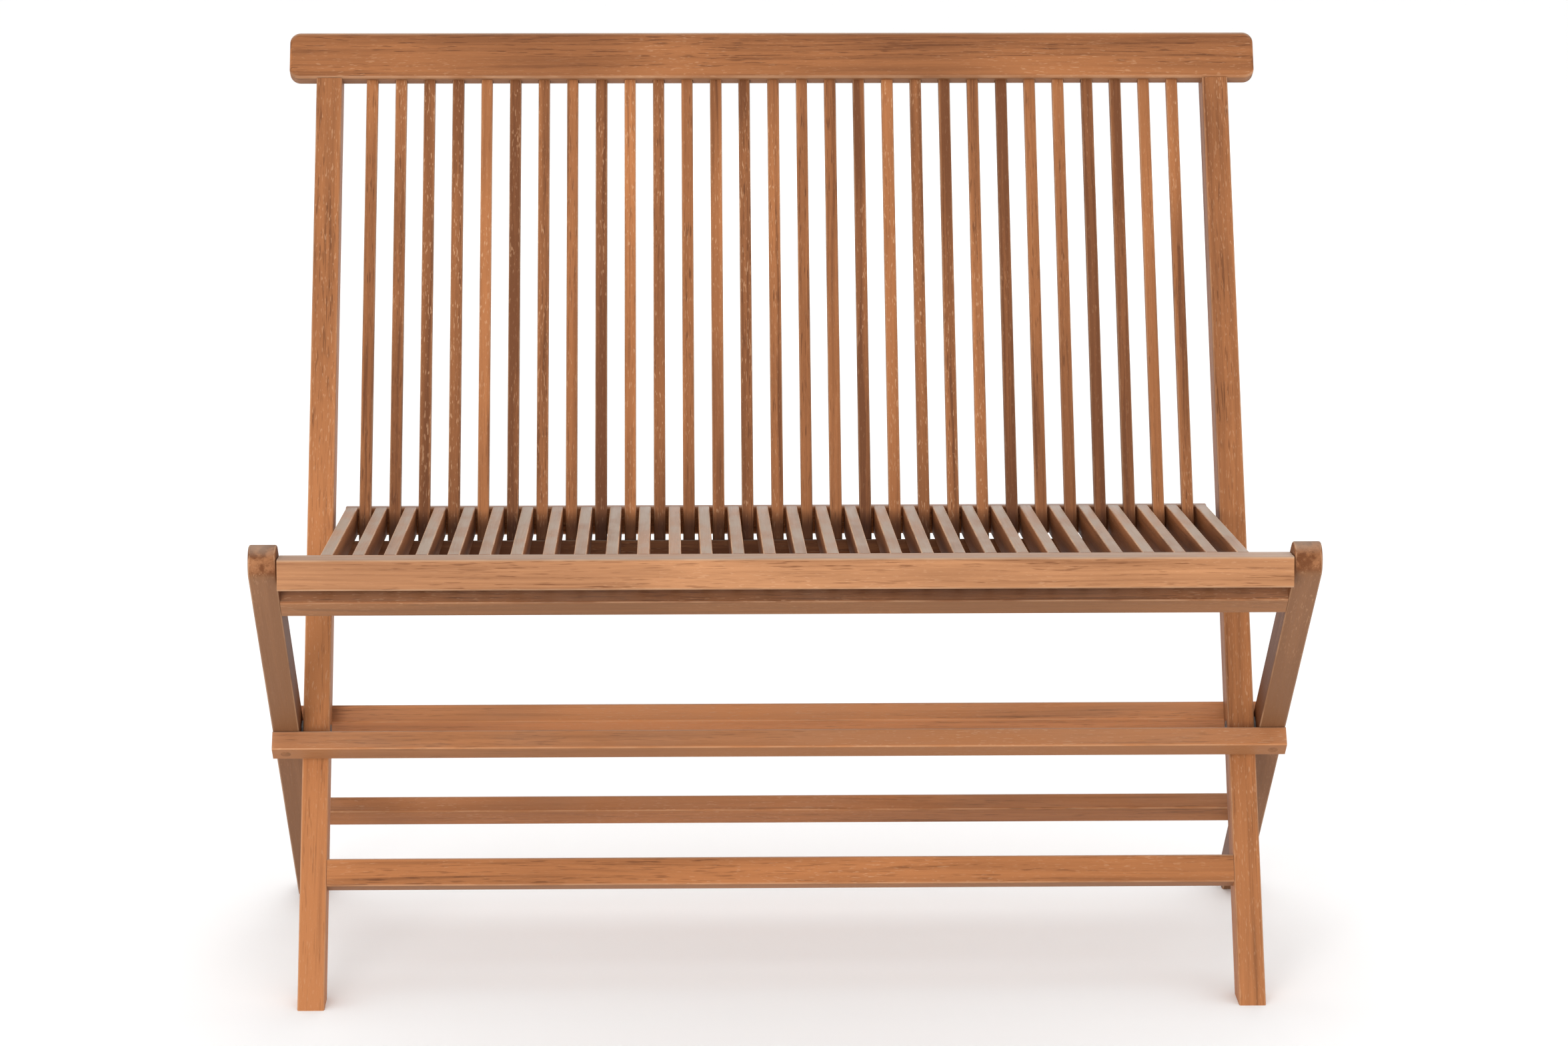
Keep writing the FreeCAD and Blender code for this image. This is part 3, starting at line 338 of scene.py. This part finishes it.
def make_slat_row():
    """A row of round-edged strips, each with its own place, width and tone."""
    slip, narrowest, corner_steps = 0.0003, 0.95, 3
    tree, takes, gives = new_group("slat_row", "GeometryNodeTree", {
        "Count": ("Int", 2), "Pitch": ("Float", 0.03), "Width": ("Float", 0.012),
        "Depth": ("Float", 0.01), "Length": ("Float", 0.5), "Ease": ("Float", 0.001),
        "Set Back": ("Float", 0.0), "Start": ("Float", 0.0), "Foot": ("Vector", None),
        "Turn": ("Float", 0.0), "Seed": ("Int", 1), "Teak": ("Material", None),
    }, {"Geometry": "Geometry"})

    def random(low, high, salt):
        """One number for each slat."""
        seed = sum_up(tree, "ADD", takes["Seed"], salt)
        return put(tree, "FunctionNodeRandomValue", {2: low, 3: high, "Seed": seed}).outputs[1]

    section = put(tree, "GeometryNodeCurvePrimitiveQuadrilateral",
                  {"Width": takes["Width"], "Height": takes["Depth"]}).outputs[0]
    section = put(tree, "GeometryNodeFilletCurve", {
        "Curve": section, "Count": corner_steps, "Radius": takes["Ease"]}, mode="POLY").outputs[0]
    line = put(tree, "GeometryNodeCurvePrimitiveLine",
               {"End": vector_of(tree, z=takes["Length"])}).outputs[0]
    strip = put(tree, "GeometryNodeCurveToMesh", {"Curve": line, "Profile Curve": section,
                                                  "Fill Caps": True}).outputs[0]
    reach = sum_up(tree, "MULTIPLY", sum_up(tree, "SUBTRACT", takes["Count"], 1.0), takes["Pitch"])
    first = vector_of(tree, sum_up(tree, "MULTIPLY", reach, -0.5), takes["Set Back"],
                      takes["Start"])
    row = put(tree, "GeometryNodeMeshLine", {
        "Count": takes["Count"], "Start Location": first,
        "Offset": vector_of(tree, takes["Pitch"])}).outputs[0]
    slats = put(tree, "GeometryNodeInstanceOnPoints", {"Points": row, "Instance": strip}).outputs[0]
    slats = put(tree, "GeometryNodeTranslateInstances", {
        0: slats, "Translation": vector_of(tree, random(-slip, slip, 1))}).outputs[0]
    slats = put(tree, "GeometryNodeScaleInstances", {
        0: slats, "Scale": vector_of(tree, random(narrowest, 1.0, 2), 1.0, 1.0)}).outputs[0]
    slats = put(tree, "GeometryNodeStoreNamedAttribute", {
        0: slats, "Name": "slat_tone", "Value": random(-1.0, 1.0, 3)},
        data_type="FLOAT", domain="INSTANCE").outputs[0]
    slats = put(tree, "GeometryNodeRealizeInstances", {0: slats}).outputs[0]
    slats = put(tree, "GeometryNodeTransform", {
        0: slats, "Translation": takes["Foot"],
        "Rotation": vector_of(tree, takes["Turn"])}).outputs[0]
    slats = put(tree, "GeometryNodeSetMaterial", {0: slats, "Material": takes["Teak"]}).outputs[0]
    tree.links.new(slats, gives["Geometry"])
    return tree


def grow(name, tree, **values):
    """Runs a node tree once and keeps its result as a plain mesh."""
    source = bpy.data.objects.new(name, bpy.data.meshes.new(name))
    bpy.context.collection.objects.link(source)
    modifier = source.modifiers.new("grown", "NODES")
    modifier.node_group = tree
    for item in tree.interface.items_tree:
        title = item.name.replace(" ", "_").lower()
        if item.in_out == "INPUT" and title in values:
            modifier[item.identifier] = values[title]
    view = bpy.context.evaluated_depsgraph_get()
    mesh = bpy.data.meshes.new_from_object(source.evaluated_get(view), depsgraph=view)
    source.modifiers.remove(modifier)
    source.data = mesh
    mesh.name = name
    return source


slat_row = make_slat_row()
# Painted shade darkens the back slats below the seat's line, where they pass between the seat
# slats.
back_slat_teak = teak("back_slat_teak", ALONG_BACK, shift=(0.5, 0, 0), tone=-0.45, streaks=0.5,
                      pores=0.5, tone_from="slat_tone", spread=0.7,
                      shade={"Amount": 0.65, "Top": 0.441, "Fall": SEAT_FALL, "Reach": 0.018})
back_slats = grow("back_slats", slat_row, count=BACK_SLAT_COUNT, pitch=SLAT_PITCH,
                  width=SLAT_WIDTH, depth=BACK_SLAT_DEPTH, length=BACK_SLAT_LENGTH,
                  ease=SLAT_EASE, set_back=BACK_SLAT_SET_BACK, start=BACK_SLAT_START,
                  foot=BACK_FOOT, turn=-BACK_LEAN, seed=4, teak=back_slat_teak)
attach(back_slats, "back_frame")
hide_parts(*[f"back_slat_{n:02d}" for n in range(1, BACK_SLAT_COUNT + 1)])

# Legs: two teak members outside the stiles, with rounded tops that carry the seat's pins. They
# cross the stiles at the pivot bolts and lean the other way.
LEG_LEAN = radians(48.5)
ALONG_LEGS = (-LEG_LEAN, 0, 0)
# The legs' dull honey and low tone paint them darker: painted shade on fronts that look down.
SHADED_LEG_HONEY = (0.40, 0.175, 0.075, 1)
finish_nodes(teak("leg_left_teak", ALONG_LEGS, shift=(0.2, 0.9, 0.4), tone=-1.0, pores=0.45,
                  honey=SHADED_LEG_HONEY), "leg_left")
finish_nodes(teak("leg_right_teak", ALONG_LEGS, shift=(1.2, 0.5, 0.7), tone=-1.1, pores=0.45,
                  honey=SHADED_LEG_HONEY), "leg_right")

# Leg frame rails: an upper rail and a rear stretcher tenoned between the legs, and two stop rails
# screwed across the legs' front and back, which the stiles rest against when the bench is open.
ACROSS_LEGS = (-LEG_LEAN, -pi / 2, 0)
PAINTED_LIGHT_HONEY = (0.60, 0.235, 0.085, 1)
# The upper rail's low tone and its shade paint its top and back dark: painted shade.
finish_nodes(teak("upper_rail_teak", ACROSS_LEGS, shift=(0.3, 0.6, 0.2), tone=-0.6,
                  shade={"Amount": 0.55, "Top": 0.138, "Fall": 1.0, "Reach": -0.02}),
             "upper_rail")
finish_nodes(teak("rear_stretcher_teak", ACROSS_LEGS, shift=(1.3, 0.1, 0.6), tone=0.3,
                  under=0.2), "rear_stretcher")
finish_nodes(teak("front_stop_teak", ACROSS_LEGS, shift=(0.9, 1.6, 0.1), tone=0.85),
             "front_stop_rail")
# The rear stop rail's brighter, redder honey is painted light where the seat above shades it.
finish_nodes(teak("rear_stop_teak", ACROSS_LEGS, shift=(0.4, 2.6, 0.8), tone=0.5, under=0.1,
                  honey=PAINTED_LIGHT_HONEY), "rear_stop_rail")

# Wooden plugs: teak buttons glued over the screws and the seat's pins and sanded flush. They are
# a little browner than the wood around them.
UPRIGHT = (0, 0, 0)
finish_nodes(teak("plug_teak", UPRIGHT, shift=(0, 0, 0), tone=-0.9, sun_grey_and_sheen=0.0), "wood_plugs")

# Fittings: pivot bolts with washers and nuts, seat pins and the stop rails' screws, all of mild
# steel with a dull zinc plating that has clouded outdoors.
DARK_ZINC, LIGHT_ZINC = (0.16, 0.155, 0.15, 1), (0.28, 0.275, 0.27, 1)
SHINY, CLOUDED, CLOUDS_PER_METRE = 0.38, 0.6, 420.0
steel = bpy.data.materials.new("steel")
steel.use_nodes = True
plating = steel.node_tree
plating_shader = plating.nodes["Principled BSDF"].inputs
plating_place = put(plating, "ShaderNodeTexCoord").outputs["Object"]
clouds = put(plating, "ShaderNodeTexNoise", {"Vector": plating_place, "Scale": CLOUDS_PER_METRE,
                                             "Detail": 3.0}).outputs[0]
dullness = between(plating, clouds, start=0.3, end=0.7, at_start=SHINY, at_end=CLOUDED)
plating.links.new(tint(plating, clouds, DARK_ZINC, LIGHT_ZINC), plating_shader["Base Color"])
plating.links.new(dullness, plating_shader["Roughness"])
plating_shader["Metallic"].default_value = 1.0
finish_nodes(steel, "pivot_bolt_left", "pivot_bolt_right", "pivot_washers", "pivot_nuts",
             "seat_pin_left", "seat_pin_right", "stop_rail_screws")

# Seat rails: a deep front rail that turns on the pins between the leg tops, and a light rear rail
# that hangs behind the back slats.
SEAT_SLOPE = radians(4.979)
ACROSS_SEAT = (SEAT_SLOPE, -pi / 2, 0)
PALE_HONEY = (0.50, 0.235, 0.105, 1)
finish_nodes(teak("seat_front_teak", ACROSS_SEAT, shift=(0.6, 0.3, 1.4), tone=0.25, streaks=0.3,
                  sun_grey_and_sheen=0.7, honey=PALE_HONEY), "seat_front_rail")
finish_nodes(teak("seat_rear_teak", ACROSS_SEAT, shift=(1.6, 0.8, 0.3)), "seat_rear_rail")

# Seat slats: deeper teak strips set on edge, tenoned into both seat rails, with a back slat
# between each two of them.
SEAT_SLAT_COUNT, SEAT_SLAT_DEPTH, SEAT_SLAT_LENGTH = 30, 0.028, 0.3659
SEAT_SLAT_SET_BACK, SEAT_SLAT_START = 0.014, 0.037
SEAT_FOOT = (0, -0.329036, 0.470535)
SEAT_LAID = pi / 2 + SEAT_SLOPE
SEAT_SLAT_NODES = 10
# Painted shade on the slats' sides, painted sheen over sun-grey on tops, painted highlight on
# edges.
seat_slat_teak = teak("seat_slat_teak", (SEAT_LAID, 0, 0), shift=(0.9, 0.3, 0), tone=-0.05,
                      pores=0.4, arris_wear_and_highlight=0.9, sun_grey_and_sheen=0.95, tone_from="slat_tone", spread=0.35,
                      shade={"Amount": 0.6, "Top": 0.4414, "Fall": SEAT_FALL, "Reach": 0.018})
seat_slats = grow("seat_slats", slat_row, count=SEAT_SLAT_COUNT, pitch=SLAT_PITCH,
                  width=SLAT_WIDTH, depth=SEAT_SLAT_DEPTH, length=SEAT_SLAT_LENGTH,
                  ease=SLAT_EASE, set_back=SEAT_SLAT_SET_BACK, start=SEAT_SLAT_START,
                  foot=SEAT_FOOT, turn=-SEAT_LAID, seed=9, teak=seat_slat_teak)
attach(seat_slats, "seat")
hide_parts(*[f"seat_slats_{n:02d}" for n in range(1, SEAT_SLAT_NODES + 1)])

# Studio: a pale, matt floor that runs out of sight, a bright even room, and three soft square
# lamps, one low in front, one overhead and one behind.
FLOOR_REACH, FLOOR_PAINT, MATT = 30.0, (0.98, 0.98, 0.98, 1), 0.9
ROOM_COLOUR, ROOM_LIGHT = (1, 1, 1, 1), 1.02
floor_mesh = bpy.data.meshes.new("floor")
floor_mesh.from_pydata([(-FLOOR_REACH, -FLOOR_REACH, 0), (FLOOR_REACH, -FLOOR_REACH, 0),
                        (FLOOR_REACH, FLOOR_REACH, 0), (-FLOOR_REACH, FLOOR_REACH, 0)], [],
                       [(0, 1, 2, 3)])
floor = bpy.data.objects.new("floor", floor_mesh)
bpy.context.collection.objects.link(floor)
floor_paint = bpy.data.materials.new("floor_paint")
floor_paint.use_nodes = True
floor_shader = floor_paint.node_tree.nodes["Principled BSDF"].inputs
floor_shader["Base Color"].default_value = FLOOR_PAINT
floor_shader["Roughness"].default_value = MATT
floor_mesh.materials.append(floor_paint)

room = bpy.data.worlds.new("room")
bpy.context.scene.world = room
room.use_nodes = True
room_light = room.node_tree.nodes["Background"].inputs
room_light["Color"].default_value = ROOM_COLOUR
room_light["Strength"].default_value = ROOM_LIGHT

for name, place, turn, size, power in [
        ("front_lamp", (-1.6, -5.0, 0.9), (1.52, 0.0, -0.31), 1.6, 110),
        ("top_lamp", (0.0, -0.8, 4.5), (0.0, 0.0, 0.0), 2.5, 20),
        ("back_lamp", (1.0, 6.0, 2.6), (-1.25, 0.0, 0.16), 3.0, 60)]:
    lamp = bpy.data.lights.new(name, "AREA")
    lamp.size, lamp.energy = size, power
    stand = bpy.data.objects.new(name, lamp)
    stand.location, stand.rotation_euler = place, turn
    bpy.context.collection.objects.link(stand)

# Camera: a long lens 4.7 m back, half a metre above the crest rail and a little left of the
# bench's middle, as in the photograph. Colours are shown plainly, with no film look.
SENSOR_WIDTH, LENS = 36.0, 111.09
CAMERA_PLACE = (-0.107, -4.6679, 1.4296)
CAMERA_TURN = (radians(77.96), radians(-0.09), radians(-1.36))
camera = bpy.data.objects.new("camera", bpy.data.cameras.new("camera"))
bpy.context.collection.objects.link(camera)
camera.data.sensor_width, camera.data.lens = SENSOR_WIDTH, LENS
camera.location, camera.rotation_euler = CAMERA_PLACE, CAMERA_TURN
bpy.context.scene.camera = camera
bpy.context.scene.view_settings.view_transform = "Standard"
